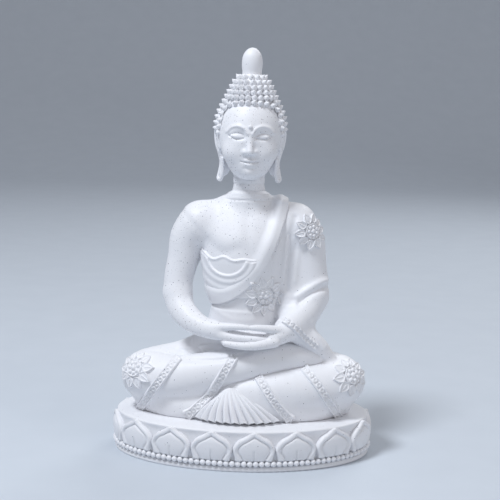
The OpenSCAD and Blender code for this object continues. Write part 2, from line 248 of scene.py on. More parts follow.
def cast_stone(name, specks):
    """Pale cast stone: mineral specks of two sizes, faint clouding and a fine pitted grain.
    specks is the share of cells that hold a dark grain."""
    material = bpy.data.materials.new(name)
    material.use_nodes = True
    tree = material.node_tree
    nodes, links = tree.nodes, tree.links
    shader = nodes["Principled BSDF"]
    place = nodes.new("ShaderNodeTexCoord").outputs["Object"]

    def math_node(operation, a, b):
        node = nodes.new("ShaderNodeMath")
        node.operation = operation
        for socket, value in zip(node.inputs, (a, b)):
            if isinstance(value, (int, float)):
                socket.default_value = value
            else:
                links.new(value, socket)
        return node.outputs[0]

    def mix(amount, a, b):
        node = nodes.new("ShaderNodeMix")
        node.data_type = "RGBA"
        links.new(amount, node.inputs[0])
        for socket, value in ((node.inputs[6], a), (node.inputs[7], b)):
            if isinstance(value, tuple):
                socket.default_value = (*value, 1)
            else:
                links.new(value, socket)
        return node.outputs[2]

    def noise(scale, detail):
        node = nodes.new("ShaderNodeTexNoise")
        node.inputs["Scale"].default_value = scale
        node.inputs["Detail"].default_value = detail
        links.new(place, node.inputs["Vector"])
        return node.outputs["Fac"]

    def grains(cell, size, share):
        """1 inside a grain. Each cell of the given size in metres may hold one."""
        node = nodes.new("ShaderNodeTexVoronoi")
        node.inputs["Scale"].default_value = 1 / cell
        links.new(place, node.inputs["Vector"])
        split = nodes.new("ShaderNodeSeparateColor")
        links.new(node.outputs["Color"], split.inputs[0])
        radius = math_node("MULTIPLY", math_node("ADD", split.outputs[1], 0.6), size / 1.6)
        small = math_node("LESS_THAN", node.outputs["Distance"], radius)
        chosen = math_node("LESS_THAN", split.outputs[0], share)
        return math_node("MULTIPLY", small, chosen), split.outputs[2]

    stone = mix(math_node("MULTIPLY", noise(90, 3), 0.36), STONE_COLOUR, STONE_WARM)
    dark, hue = grains(GRAIN_CELL, GRAIN_SIZE, specks)
    grain_colour = nodes.new("ShaderNodeValToRGB")
    links.new(hue, grain_colour.inputs[0])
    ramp_colours = grain_colour.color_ramp
    ramp_colours.elements[0].color = (0.10, 0.13, 0.21, 1)
    ramp_colours.elements[1].color = (0.30, 0.25, 0.23, 1)
    ramp_colours.elements.new(0.5).color = (0.19, 0.20, 0.23, 1)
    stone = mix(dark, stone, grain_colour.outputs[0])
    faint = grains(FAINT_CELL, FAINT_SIZE, min(0.6, specks * 1.5))[0]
    stone = mix(math_node("MULTIPLY", faint, 0.3), stone, (0.42, 0.43, 0.47))
    links.new(stone, shader.inputs["Base Color"])
    rough = math_node("ADD", math_node("MULTIPLY", noise(700, 2), 0.22), 0.4)
    links.new(rough, shader.inputs["Roughness"])
    bump = nodes.new("ShaderNodeBump")
    bump.inputs["Strength"].default_value = 0.22
    bump.inputs["Distance"].default_value = 0.00012
    links.new(noise(2600, 3), bump.inputs["Height"])
    links.new(bump.outputs[0], shader.inputs["Normal"])
    shader.inputs["Subsurface Weight"].default_value = 0.08
    shader.inputs["Subsurface Scale"].default_value = 0.0008
    shader.inputs["Subsurface Radius"].default_value = (1.0, 0.95, 0.9)
    shader.inputs["Specular IOR Level"].default_value = 0.45
    return material


STONE = {
    "pedestal": cast_stone("cast_stone_base", 0.05),
    "robe": cast_stone("cast_stone_robe", 0.06),
    "skin": cast_stone("cast_stone_skin", 0.45),
    "ornament": cast_stone("cast_stone_ornament", 0.05),
    "hair": cast_stone("cast_stone_hair", 0.04),
}


# ---- meshes


def put(name, points, faces, slot):
    """Makes the piece that stands for the CAD node of the same name, from points in millimetres and
    a table of quads or a list of faces."""
    mesh = bpy.data.meshes.new(name)
    co = (np.asarray(points, float) + [0, 0, SEAT_Z]) / 1000
    if isinstance(faces, np.ndarray):
        mesh.vertices.add(len(co))
        mesh.vertices.foreach_set("co", co.ravel())
        mesh.loops.add(faces.size)
        mesh.loops.foreach_set("vertex_index", faces.ravel().astype(np.int32))
        mesh.polygons.add(len(faces))
        mesh.polygons.foreach_set("loop_start", np.arange(0, faces.size, faces.shape[1], dtype=np.int32))
        mesh.update(calc_edges=True)
    else:
        mesh.from_pydata(co.tolist(), [], faces)
    mesh.validate()
    mesh.polygons.foreach_set("use_smooth", np.ones(len(mesh.polygons), bool))
    piece = bpy.data.objects.new(name, mesh)
    bpy.context.collection.objects.link(piece)
    mesh.materials.append(STONE[slot])
    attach(piece, "root")
    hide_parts(name)


def slope_of(field, p, reach):
    """The field and its gradient at p, from four samples round each point."""
    corners = np.array([[1, -1, -1], [-1, -1, 1], [-1, 1, -1], [1, 1, 1]], float)
    values = [field(p + reach * c) for c in corners]
    gradient = sum(v[:, None] * c for v, c in zip(values, corners)) / (4 * reach)
    return sum(values) / 4, gradient


def drop_crumbs(points, quads):
    """Keeps the largest connected part."""
    label = np.arange(len(points))
    edges = np.vstack([quads[:, [0, 1]], quads[:, [1, 2]], quads[:, [2, 3]]])
    while True:
        low = np.minimum(label[edges[:, 0]], label[edges[:, 1]])
        new = label.copy()
        np.minimum.at(new, edges[:, 0], low)
        np.minimum.at(new, edges[:, 1], low)
        new = new[new]
        if (new == label).all():
            break
        label = new
    keep = label == np.bincount(label).argmax()
    index = np.cumsum(keep) - 1
    return points[keep], index[quads[keep[quads[:, 0]]]]


BLOCK = 8  # samples along a block's side
SLACK = 1.3  # a sampled distance may be too large by this factor
MARGIN = 0.3  # and by this many mm beside a fold


def surface(field, low, high, step):
    """Points and quads of the field's surface inside a box. Only blocks near it are sampled."""
    step = step * COARSER
    clamp = 3 * step
    low = np.array(low, float) - 2 * step
    high = np.array(high, float) + 2 * step
    blocks = np.ceil((high - low) / (step * BLOCK)).astype(int)
    cells = np.stack(np.meshgrid(*[np.arange(n) for n in blocks], indexing="ij"), -1).reshape(-1, 3)
    middle = low + (cells * BLOCK + (BLOCK - 1) / 2) * step
    rough = field(middle)
    half_diagonal = 0.87 * step * BLOCK
    near = np.flatnonzero(np.abs(rough) < half_diagonal * SLACK + MARGIN)
    values = np.empty((len(cells), BLOCK**3), np.float32)
    values[:] = np.where(rough > 0, clamp, -clamp)[:, None]
    inside = np.stack(np.meshgrid(*[np.arange(BLOCK)] * 3, indexing="ij"), -1).reshape(-1, 3)
    for part in np.array_split(near, max(1, len(near) // 300)):
        p = (low + (cells[part][:, None] * BLOCK + inside[None]) * step).reshape(-1, 3)
        values[part] = np.clip(field(p), -clamp, clamp).reshape(len(part), -1)
    nx, ny, nz = blocks
    volume = values.reshape(nx, ny, nz, BLOCK, BLOCK, BLOCK).transpose(0, 3, 1, 4, 2, 5)
    volume = np.ascontiguousarray(volume.reshape(nx * BLOCK, ny * BLOCK, nz * BLOCK))
    grid = openvdb.FloatGrid(clamp)
    grid.copyFromArray(volume)
    points, quads = grid.convertToQuads(0.0)
    points = low + points.astype(float) * step
    points, quads = drop_crumbs(points, quads.astype(np.int64))
    a, b, c = points[quads[:, 0]], points[quads[:, 1]], points[quads[:, 2]]
    if np.einsum("ij,ij->", a, np.cross(b, c)) < 0:
        quads = quads[:, ::-1]
    return relaxed(field, points, quads, step), quads


def relaxed(field, points, quads, step):
    """Points evened out among their neighbours and drawn back onto the field, twice."""
    ends = np.vstack([quads[:, [0, 1]], quads[:, [1, 2]], quads[:, [2, 3]], quads[:, [3, 0]]])
    for _ in range(2):
        total = np.zeros_like(points)
        np.add.at(total, ends[:, 0], points[ends[:, 1]])
        np.add.at(total, ends[:, 1], points[ends[:, 0]])
        count = np.bincount(ends.ravel(), minlength=len(points))[:, None]
        points = (points + total / count) / 2
        d, g = slope_of(field, points, 0.2 * step)
        move = -d[:, None] * g / np.maximum(np.einsum("ij,ij->i", g, g), 0.1)[:, None]
        length = np.linalg.norm(move, axis=1, keepdims=True)
        points = points + move * np.minimum(1, 0.8 * step / np.maximum(length, 1e-9))
    return points


def sculpt(name, field, low, high, step, slot):
    """Makes a piece from the part of a field's surface that lies inside a box."""
    points, quads = surface(field, low, high, step)
    put(name, points, quads, slot)


def slab(front, back, wrap=False):
    """Points and faces of a closed solid between two grids of points. wrap joins the last column to
    the first, and closes the hole in the middle of the first row."""
    rows, cols = front.shape[:2]
    points = np.vstack([front.reshape(-1, 3), back.reshape(-1, 3)])
    f = np.arange(rows * cols).reshape(rows, cols)
    b = f + rows * cols
    if wrap:
        f, b = np.hstack([f, f[:, :1]]), np.hstack([b, b[:, :1]])

    def quads(g, turn):
        corners = [g[:-1, :-1], g[:-1, 1:], g[1:, 1:], g[1:, :-1]]
        return np.stack(corners, -1).reshape(-1, 4)[:, ::turn]

    faces = [quads(f, 1), quads(b, -1)]
    rims = [(f[-1], b[-1])]
    if not wrap:
        rims += [(b[0], f[0]), (f[:, 0], b[:, 0]), (b[:, -1], f[:, -1])]
    for g, h in rims:
        faces.append(np.stack([g[:-1], g[1:], h[1:], h[:-1]], -1))
    faces = np.vstack(faces).tolist()
    if wrap:
        faces += [f[0, :-1][::-1].tolist(), b[0, :-1].tolist()]
    return points, faces


def outward(points, faces):
    """The same faces, turned round if they enclose a negative volume."""
    total = 0.0
    for face in faces:
        a = points[face[0]]
        for j, k in zip(face[1:-1], face[2:]):
            total += np.dot(a, np.cross(points[j], points[k]))
    return faces if total > 0 else [face[::-1] for face in faces]


AHEAD = -20.0  # a y in front of the whole figure
ACROSS = 40  # mm, further than any way from AHEAD to the figure
STRIDES = 70


def settle(starts, aims, field, travel):
    """Moves each start along its aim until it meets the field or has gone as far as travel. Gives
    the points and the field's normals there."""
    p = starts.copy()
    gone = np.zeros(len(p))
    for _ in range(STRIDES):
        stride = np.clip(field(p) * 0.8, -0.6, 1.5)
        stride = np.where(gone + stride > travel, travel - gone, stride)
        gone = gone + stride
        p = p + aims * stride[:, None]
    g = slope_of(field, p, 0.1)[1]
    return p, g / np.maximum(np.linalg.norm(g, axis=1, keepdims=True), 1e-9)


RELIEF_DEPTH = 0.5  # how deep relief is sunk in what it lies on


def relief(name, starts, aims, height, field, travel, wrap=False):
    """An ornament raised by a grid of heights over a field. starts and aims are grids of points and
    of the directions in which they settle on the field."""
    shape = starts.shape
    hit, normal = settle(starts.reshape(-1, 3), aims.reshape(-1, 3), field, travel)
    front = hit + normal * height.reshape(-1, 1)
    back = hit - normal * RELIEF_DEPTH
    points, faces = slab(front.reshape(shape), back.reshape(shape), wrap)
    put(name, points, outward(points, faces), "ornament")


def ring_faces(rings, sides):
    """Faces of a closed stack of rings of points: the sides, the bottom and the top."""
    faces = []
    for i in range(rings - 1):
        for j in range(sides):
            k = (j + 1) % sides
            faces.append([i * sides + j, i * sides + k, (i + 1) * sides + k, (i + 1) * sides + j])
    return faces + [list(range(sides))[::-1], [(rings - 1) * sides + j for j in range(sides)]]


def lathe(rings, sides=96):
    """Points and faces of a closed solid of level rings: rows of radius and height."""
    around = np.linspace(0, 2 * np.pi, sides, endpoint=False)
    points = [[r * math.cos(a), r * math.sin(a), z] for r, z in rings for a in around]
    return np.array(points), ring_faces(len(rings), sides)


# ---- forms of the figure

HIPS = tower([
    [-1, 23.0, -2.0, 18.6], [4, 25.4, -3.0, 20.2], [10, 25.0, -4.0, 20.2], [15, 22.4, -5.0, 18.4],
    [19, 18.8, -5.6, 16.0], [23, 14.6, -6.0, 13.8], [27, 11.2, -6.3, 12.4], [31, 9.8, -6.3, 11.8]])
TORSO = tower([
    [14, 12.4, -5.6, 13.2], [22, 11.8, -6.2, 12.9], [28, 10.6, -6.4, 12.2], [32.6, 9.9, -6.4, 11.8],
    [36, 10.9, -6.7, 12.0], [40, 12.2, -7.0, 12.4], [46, 13.0, -7.6, 12.8], [52, 13.8, -7.2, 12.8],
    [57, 14.2, -5.3, 12.2], [61, 13.4, -2.9, 11.2], [64, 10.6, -1.2, 9.8], [66.4, 6.0, -0.8, 8.2]])

RIGHT_ARM = [
    [-14.2, 4.4, 56.8, 7.0], [-18.0, 4.3, 52.5, 5.6], [-19.3, 4.0, 46.5, 4.9], [-20.6, 3.3, 40.5, 4.5],
    [-20.9, 2.2, 35.6, 4.4], [-19.6, -0.6, 31.6, 4.1], [-16.6, -4.2, 28.8, 3.7],
    [-12.6, -7.6, 27.2, 3.1], [-8.6, -9.6, 26.6, 2.6]]
LEFT_ARM = [
    [14.2, 4.4, 56.8, 7.1], [17.4, 4.3, 52.0, 6.2], [18.4, 4.0, 46.0, 5.9], [19.6, 3.2, 40.0, 5.5],
    [19.9, 2.0, 35.6, 5.3], [18.2, -1.2, 31.8, 4.9], [15.2, -5.0, 29.0, 4.2],
    [12.2, -8.0, 27.4, 3.4]]

right_upper_arm = limb(RIGHT_ARM[:5])
right_forearm = limb(RIGHT_ARM[4:])
left_upper_sleeve = join(
    3.0,
    limb(LEFT_ARM[:5]),
    limb([[11.5, 3.4, 50, 4.4], [13.0, 2.6, 43, 4.6], [13.8, 1.2, 36, 4.6], [13.4, -1.6, 30.6, 3.8]]))
left_lower_sleeve = join(
    2.5,
    limb(LEFT_ARM[4:]),
    limb([[13.5, -6.6, 27.0, 3.0], [18.4, -4.8, 24.0, 3.4], [22.4, -3.8, 20.6, 3.2],
          [25.6, -3.2, 17.6, 2.2]]))

right_leg = seated(join(
    3.0,
    limb([[-10, 9, 10.5, 9.4], [-21, 5.0, 10.2, 8.7], [-29.7, -1.5, 10.3, 7.6], [-22, -6.2, 10.8, 7.2],
          [-11, -8.2, 13.2, 6.0], [0, -8.4, 16.0, 5.2], [11, -6.6, 18.0, 4.5], [21, -3.4, 18.2, 3.7]]),
    limb([[-28.5, -2.0, 2.6, 4.2], [-20, -5.8, 3.0, 6.2], [-10, -8.2, 3.2, 5.6], [-2, -8.6, 3.4, 4.6]])))
left_leg = seated(join(
    3.0,
    limb([[10, 9, 10.2, 9.4], [21, 5.4, 9.8, 8.6], [29.7, -1.6, 10.1, 7.5], [20, -7.0, 8.8, 7.2],
          [10, -9.0, 8.2, 6.4], [0, -9.2, 7.2, 5.6], [-8, -7.6, 6.0, 4.6]]),
    limb([[28.8, -1.8, 2.6, 4.2], [20, -6.4, 3.0, 6.0], [11, -9.2, 3.2, 5.4], [2, -10, 3.2, 4.8]])))

# ---- seat and legs

hips = seated(folded(
    HIPS,
    (across([[-22, 12, 12], [-12, 17.5, 14], [0, 19, 15.5]]), -0.35, 1.0),
    ([[-20, 14, 6], [-8, 19.6, 8.4], [6, 20, 8.8], [18, 16, 7]], -0.3, 1.1)))
right_leg_cloth = folded(
    onto(right_leg, hips, 3.0),
    ([[-23.5, 18.0], [-14, 17.6], [-6, 18.4], [2, 20.5]], -0.45, 0.5),
    ([[-22, 6.0], [-14, 6.2], [-7, 6.8]], -0.35, 1.4),
    ([[-17, 21.6], [-12, 20.2], [-7, 21.0]], 0.35, 0.9))
left_leg_cloth = folded(
    onto(left_leg, hips, 3.0),
    ([[17, 4.6], [24, 5.0], [30, 6.6]], -0.3, 1.3))

sculpt("hips", hips, [-27, -8, -1], [27, 22, 32], 0.55, "robe")
sculpt("right_leg", right_leg_cloth, [-39, -19, -1], [28, 21, 26], 0.4, "robe")
sculpt("left_leg", left_leg_cloth, [-16, -20, -1], [39, 20, 26], 0.4, "robe")

# ---- torso

chest = folded(
    TORSO,
    ([[-12, 52.5], [-7.5, 49.6], [-2.5, 51.0]], -0.3, 1.6),
    ([[-10.5, 55], [-6.5, 53], [-3, 54]], 0.35, 3.0),
    ([[0, 62], [0, 56], [0.5, 50]], -0.22, 1.4))
sculpt("torso", onto(chest, hips, 2.0), [-16, -9, 12], [16, 15, 68], 0.45, "skin")
right_upper_arm = folded(right_upper_arm, ([[-16, 61], [-12.5, 62.6], [-9, 63.6]], -0.16, 0.3))
sculpt("right_upper_arm", onto(right_upper_arm, chest, 2.8), [-28, -7, 26], [-2, 16, 68], 0.42, "skin")
right_forearm_skin = onto(right_forearm, right_upper_arm, 1.0)
sculpt("right_forearm", right_forearm_skin, [-27, -14, 22], [-5, 8, 42], 0.35, "skin")

# ---- robe

SASH_LOW = [[12.6, 67], [12, 62], [10.7, 57.5], [8.3, 50.7], [5.1, 44.7], [1, 39.4], [-4.2, 35.2],
            [-8.5, 33.2], [-13, 32.4], [-18, 32.4]]
SASH_HIGH = [[-18, 41], [-12.5, 40.5], [-8, 40.4], [-3.5, 42.5], [1.1, 47.2], [4.8, 55], [6.6, 61], [7.4, 67]]


def sash_height(p):
    """Height of the sash over the torso: a crisp lower edge, a soft upper one and a long fold."""
    q = p[:, [0, 2]]
    low, low_side = line_distance(q, SASH_LOW)
    high, high_side = line_distance(q, SASH_HIGH)
    from_low, from_high = low * -low_side, high * -high_side
    edge = ramp(from_low, -0.02, 0.24) * ramp(from_high, -0.6, 3.2)
    thickness = 1.15 + 0.5 * ramp(p[:, 2], 46, 58) + 0.15 * hump(from_low - 3.4, 1.6)
    outside = 1 - ramp(np.minimum(from_low, from_high + 0.6), -0.4, 0.0)
    return edge * thickness - 0.5 * outside


def sash(p):
    """The sash over the chest, cut off level under its lowest fold."""
    return np.maximum(chest(p) - sash_height(p), 30.5 - p[:, 2])


def robe_height(p):
    """Height of the thin robe over the torso. It begins in a groove along the sash's lower edge."""
    low, side = line_distance(p[:, [0, 2]], SASH_LOW)
    past = low * side
    return 0.32 * ramp(past, -1.6, -1.0) - 0.4 * (1 - ramp(past, -2.2, -1.6)) - 0.35 * hump(past - 0.1, 0.22)


robe = folded(
    lambda p: np.maximum(TORSO(p) - robe_height(p), 15 - p[:, 2]),
    ([[12.6, 60], [12.2, 52], [11.4, 44], [11.8, 36]], 0.5, 0.9),
    ([[10.9, 57], [10.4, 50], [9.4, 43]], -0.3, 0.9),
    ([[-9.6, 31.5], [-4, 29.6], [2, 29.4]], 0.2, 0.8),
    ([[13, 8, 57], [11, 12, 47], [9, 12.6, 37], [12, 15, 24]], 0.4, 1.1),
    ([[8.5, 11.8, 52], [5.5, 12.8, 42], [3, 13.2, 30], [4, 16, 20]], 0.35, 1.1),
    ([[3, 12.6, 47], [-1, 13, 38], [-4, 13.6, 27]], 0.3, 1.2))
sculpt("robe_wrap", onto(robe, hips, 2.0), [-16, -10, 13], [16, 15, 68], 0.3, "robe")
sculpt("sash", sash, [-16, -11, 30], [16, 16, 68], 0.24, "robe")


UNDERFOLD_EDGE = [[-13.6, 50], [-11.8, 48.4], [-9.9, 47.7], [-6.9, 48.8], [-3.9, 47.8], [-0.9, 48.3],
                  [1.6, 48.0], [4, 48.4]]
COWL_AT = np.array([-6.0, 48.4])


def underfold(p):
    """The loose inner robe: a layer with a wavy upper edge, and over it a cowl that hangs in curves."""
    q = p[:, [0, 2]]
    edge, side = line_distance(q, UNDERFOLD_EDGE)
    below_edge = edge * -side
    hang = np.hypot((q[:, 0] - COWL_AT[0]) / 1.08, q[:, 1] - COWL_AT[1])
    inner = ramp(below_edge, -0.08, 0.3) * (0.5 + 0.28 * hump(below_edge - 0.45, 0.4))
    folds = 0.3 * hump(hang - 5.8, 0.55) + 0.3 * hump(hang - 7.7, 0.7) + 0.2 * hump(hang - 9.8, 0.8)
    cowl = ramp(hang, 4.9, 5.5) * (0.8 + folds) * ramp(below_edge, 0.1, 1.2)
    height = np.maximum(inner, cowl) - 0.5 * (1 - ramp(below_edge, -0.6, -0.08))
    return np.maximum(np.maximum(chest(p) - height, p[:, 1] - 1.5), 36 - p[:, 2])


sculpt("sash_underfold", underfold, [-16, -11, 35], [6, 2, 52], 0.25, "robe")

ELBOW_CREASE = ([[16.2, 34.4], [19.2, 36.8], [22.6, 38.4], [25.6, 38.6]], -0.7, 0.7)
left_upper_folds = folded(
    left_upper_sleeve,
    ([[14.2, 60], [12.6, 53], [12.0, 46], [12.6, 38]], -0.6, 0.9),
    ([[16.4, 55], [15.2, 48], [14.6, 41]], 0.35, 0.9),
    ([[15.4, 36.4], [18.6, 38.6], [22.4, 40.6], [25.6, 41.0]], 0.7, 0.9),
    ELBOW_CREASE)
left_lower_folds = folded(
    left_lower_sleeve,
    ELBOW_CREASE,
    ([[20.5, 29], [21.6, 25.6], [24.2, 21.6]], 0.35, 0.9))
left_upper_cloth = onto(left_upper_folds, TORSO, 3.0)


def under_sleeve(p):
    """What the lower sleeve rests on."""
    return np.minimum(left_upper_cloth(p), left_leg_cloth(p))


sculpt("left_sleeve_upper", left_upper_cloth, [2, -11, 22], [28, 16, 68], 0.42, "robe")
left_lower_cloth = onto(left_lower_folds, under_sleeve, 1.6)
sculpt("left_sleeve_lower", left_lower_cloth, [6, -15, 8], [32, 11, 44], 0.36, "robe")

# ---- hands


def hand(rows):
    """A palm and fingers, each a limb."""
    return join(0.35, *[limb(row, 3) for row in rows])


right_hand = hand([
    [[-10, -8.8, 26.8, 2.7], [-7, -10.0, 26.2, 2.4], [-4, -10.4, 25.4, 1.9]],
    [[-7, -11.2, 25.6, 1.5], [-2, -12.4, 25.1, 1.15], [3, -12.8, 24.9, 1.05], [6.8, -12.4, 24.9, 0.8]],
    [[-6, -9.8, 26.0, 1.5], [-1, -10.7, 25.6, 1.2], [4, -11.0, 25.4, 1.0], [7.4, -10.8, 25.2, 0.8]],
    [[-6, -8.2, 26.2, 1.5], [0, -8.9, 25.7, 1.2], [6, -9.2, 25.4, 0.9]],
    [[-9, -10.2, 27.6, 1.5], [-5, -11.9, 28.3, 1.15], [-1.6, -12.7, 28.5, 0.95], [0.9, -12.9, 28.4, 0.8]]])
left_hand = hand([
    [[13.2, -8.0, 27.0, 3.2], [10.6, -10.0, 25.8, 2.8], [8.0, -11.2, 24.8, 2.3]],
    [[9, -12.2, 24.2, 1.7], [4, -13.7, 23.3, 1.35], [-1, -14.0, 23.1, 1.15], [-5.6, -13.2, 23.5, 0.9]],
    [[8, -10.6, 24.0, 1.7], [3, -12.0, 23.4, 1.3], [-2, -12.2, 23.4, 1.1], [-6.2, -11.6, 23.8, 0.9]],
    [[8, -9.0, 24.0, 1.6], [2, -10.2, 23.6, 1.3], [-5, -10.0, 23.9, 1.0]],
    [[12.4, -10.2, 27.0, 1.6], [8, -12.0, 27.9, 1.25], [4.2, -12.9, 28.4, 1.0], [1.9, -13.0, 28.4, 0.8]]])
sculpt("right_hand", onto(right_hand, right_forearm, 1.2), [-13, -15, 21], [9, -5, 31], 0.22, "skin")
sculpt("left_hand", onto(left_hand, left_lower_sleeve, 0.6), [-9, -16, 20], [17, -4, 31], 0.22, "skin")

# ---- head

CHIN_Z = box_mm("head")[0][2] - SEAT_Z + 0.2
CROWN_Z = box_mm("head")[1][2] - SEAT_Z
EYE_Z = (CHIN_Z + CROWN_Z) / 2
HAIRLINE_Z = CHIN_Z + 0.86 * (CROWN_Z - CHIN_Z)
THIRD = (HAIRLINE_Z - CHIN_Z) / 3
BROW_Z = CHIN_Z + 2 * THIRD
NOSE_Z = CHIN_Z + THIRD
MOUTH_Z = CHIN_Z + THIRD * 2 / 3
EYE_X = 3.7
FACE_Y = box_mm("head")[0][1]


def paired(point):
    """A point on each side of the face."""
    return [point, mirrored(point)]


def on_both_sides(line, height, width):
    """A fold of the face and its mirror image."""
    return [(line, height, width), ([mirrored(point) for point in line], height, width)]


skull = join(
    4.0,
    egg([0, 3.8, 86.4], [9.4, 10.8, 10.2]),
    egg([0, 0.4, 81.2], [8.2, 7.6, 9.6]),
    egg([0, -2.4, CHIN_Z + 3.4], [4.4, 4.4, 3.4]))
cheeks = join(2.5, skull, *[egg(at, [3.2, 3.2, 3.0]) for at in paired([4.3, -3.4, 79.4])])
sockets = join(1.0, *[egg(at, [2.8, 1.9, 1.3]) for at in paired([EYE_X, FACE_Y - 1.3, EYE_Z + 0.5])])
lids = join(0.3, *[egg(at, [2.3, 1.35, 0.95]) for at in paired([EYE_X, FACE_Y + 1.75, EYE_Z - 0.1])])
nose = join(
    0.7,
    limb([[0, FACE_Y + 0.6, BROW_Z + 0.4, 0.8], [0, FACE_Y - 0.2, EYE_Z - 1.2, 0.8],
          [0, FACE_Y - 1.0, NOSE_Z + 1.4, 1.05], [0, FACE_Y - 1.2, NOSE_Z + 0.9, 1.1]]),
    *[egg(at, [0.85, 1.1, 0.75]) for at in paired([1.3, FACE_Y + 0.1, NOSE_Z + 0.75])])
lips = join(
    0.25,
    limb(across([
        [-2.3, FACE_Y + 0.9, MOUTH_Z + 0.35, 0.25], [-0.9, FACE_Y + 0.1, MOUTH_Z + 0.55, 0.5],
        [0, FACE_Y + 0.1, MOUTH_Z + 0.45, 0.45]])),
    limb(across([
        [-1.8, FACE_Y + 0.9, MOUTH_Z - 0.3, 0.3], [0, FACE_Y + 0.25, MOUTH_Z - 0.6, 0.72]])))
chin = egg([0, FACE_Y + 2.2, CHIN_Z + 1.7], [2.2, 1.9, 1.6])
BROW = [[0.9, BROW_Z - 0.9], [1.7, BROW_Z + 0.5], [3.6, BROW_Z + 1.3], [5.6, BROW_Z + 0.8],
        [6.9, BROW_Z - 0.5]]
LID_EDGE = [[EYE_X - 2.1, EYE_Z - 0.45], [EYE_X - 0.8, EYE_Z - 0.75], [EYE_X + 0.7, EYE_Z - 0.72],
            [EYE_X + 2.3, EYE_Z - 0.1]]
LID_FOLD = [[EYE_X - 2.1, EYE_Z], [EYE_X - 0.8, EYE_Z + 0.85], [EYE_X + 0.8, EYE_Z + 0.9],
            [EYE_X + 2.5, EYE_Z + 0.2]]
LIP_LINE = across([[-2.5, MOUTH_Z + 0.25], [-1.2, MOUTH_Z + 0.05], [0, MOUTH_Z - 0.05]])
face = join(0.5, join(1.0, cut(cheeks, sockets, 1.6), nose, chin), lips, lids)
head = folded(
    face,
    *on_both_sides(BROW, 0.42, 0.5),
    *on_both_sides(LID_EDGE, -0.4, 0.24),
    *on_both_sides(LID_FOLD, -0.25, 0.26),
    (LIP_LINE, -0.35, 0.22),
    ([[0, NOSE_Z - 0.1], [0, MOUTH_Z + 1.1]], -0.18, 0.35),
    (across([[-1.3, MOUTH_Z - 1.7], [0, MOUTH_Z - 1.85]]), -0.18, 0.5))
sculpt("head", head, [-11, -10, CHIN_Z - 1], [11, 16, CROWN_Z + 1.5], 0.22, "skin")

neck = onto(
    tower([[59, 4.6, -1.0, 8.6], [64, 5.3, -1.8, 9.0], [66.2, 5.1, -1.6, 8.8], [68, 4.8, -1.3, 8.6],
           [71, 4.8, -1.2, 8.8], [75, 5.1, -1.0, 9.4], [80, 5.6, 0, 10]]),
    chest, 2.6)


def neck_rings(p):
    """Three soft rolls of the neck, with creases between them."""
    tilt = p[:, 2] + 0.08 * p[:, 1]
    front = 1 - ramp(p[:, 1], 2, 9)
    return neck(p) + front * sum(0.22 * hump(tilt - z, 0.24) for z in (64.7, 67.6, 69.6, 71.8))


sculpt("neck", neck_rings, [-11, -7, 53], [11, 14, 81], 0.33, "skin")


def ear(side):
    """An ear with a long lobe: a rim all round, a plate inside it and a fold. side is -1 or 1."""

    def strand(*rows):
        return limb([[side * x, y, z, r] for x, y, z, r in rows])

    rim = strand(
        (8.9, 0.6, 80.4, 0.5), (9.3, 0.8, 83.6, 0.55), (9.8, 2.2, 85.2, 0.6), (10.3, 4.4, 84.6, 0.65),
        (10.0, 4.6, 81.4, 0.65), (9.1, 3.8, 78.4, 0.6), (8.5, 3.4, 75.6, 0.6), (8.8, 3.2, 73.0, 0.65),
        (9.2, 2.6, 70.9, 0.65), (8.5, 1.6, 70.8, 0.6), (7.9, 1.0, 73.2, 0.55), (8.1, 0.8, 77.0, 0.5))
    plate = join(
        1.0,
        egg([side * 9.0, 2.8, 81.6], [0.9, 2.2, 3.6]),
        strand((8.5, 2.4, 79, 0.9), (7.9, 2.2, 75.6, 0.9), (8.1, 2.1, 72.4, 1.0)),
        strand((7.6, 2.4, 76, 0.7), (6.6, 2.6, 73.8, 0.7), (6.9, 2.4, 72.8, 0.6)))
    fold = strand((9.6, 1.8, 83.2, 0.4), (9.9, 3.2, 82.2, 0.4), (9.4, 2.6, 79.8, 0.45))
    return join(0.5, rim, plate, fold)


for side, name in ((-1, "right_ear"), (1, "left_ear")):
    x = sorted([side * 6, side * 12])
    sculpt(name, ear(side), [x[0], -1, 69], [x[1], 7, 87], 0.2, "skin")

HAIR_AT, HAIR_R = np.array([0, 4.4, 86.4]), np.array([10.3, 11.5, 11.1])
BUN_AT, BUN_R = np.array([0, 3.6, 95.6]), np.array([6.1, 6.1, 7.6])
hair = egg(HAIR_AT, HAIR_R - 0.1)
bun = egg(BUN_AT, BUN_R - 0.1)


def hairline(x):
    """Height of the hair's edge over the forehead and temples."""
    return HAIRLINE_Z + 0.2 - 0.012 * x**2 - 2.2 * np.maximum(np.abs(x) - 7.0, 0) ** 2


def face_window(p):
    """Above 0 where the face is bare."""
    return np.minimum(hairline(p[:, 0]) - p[:, 2], 0.8 - p[:, 1])


def hair_cap(p):
    """The cap of hair, cut off at the nape and open over the face."""
    d = np.maximum(hair(p), 76.8 - p[:, 2] + 0.25 * (p[:, 1] - 10))
    return -merge(-d, -face_window(p), 0.6)


sculpt("hair_cap", hair_cap, [-11.5, -8, 74], [11.5, 17, 98.5], 0.4, "hair")
sculpt("ushnisha", onto(bun, hair, 2.5), [-8, -5, 90], [8, 12, 104], 0.4, "hair")


def curl_shape():
    """Points and faces of one pointed curl, a small cone wound with a groove. Its foot is flat."""
    sides, rings = 12, 7
    points = []
    for i in range(rings):
        h = i / rings
        for j in range(sides):
            a = 2 * math.pi * j / sides
            r = 1.02 * (1 - h**1.3) ** 0.85 * (1 + 0.15 * math.cos(a + 5.2 * math.pi * h))
            points.append([r * math.cos(a), r * math.sin(a), -0.35 + 1.6 * h])
    points.append([0.1, 0, 1.3])
    top = (rings - 1) * sides
    cone = [[top + j, top + (j + 1) % sides, len(points) - 1] for j in range(sides)]
    return np.array(points), ring_faces(rings, sides)[:-1] + cone


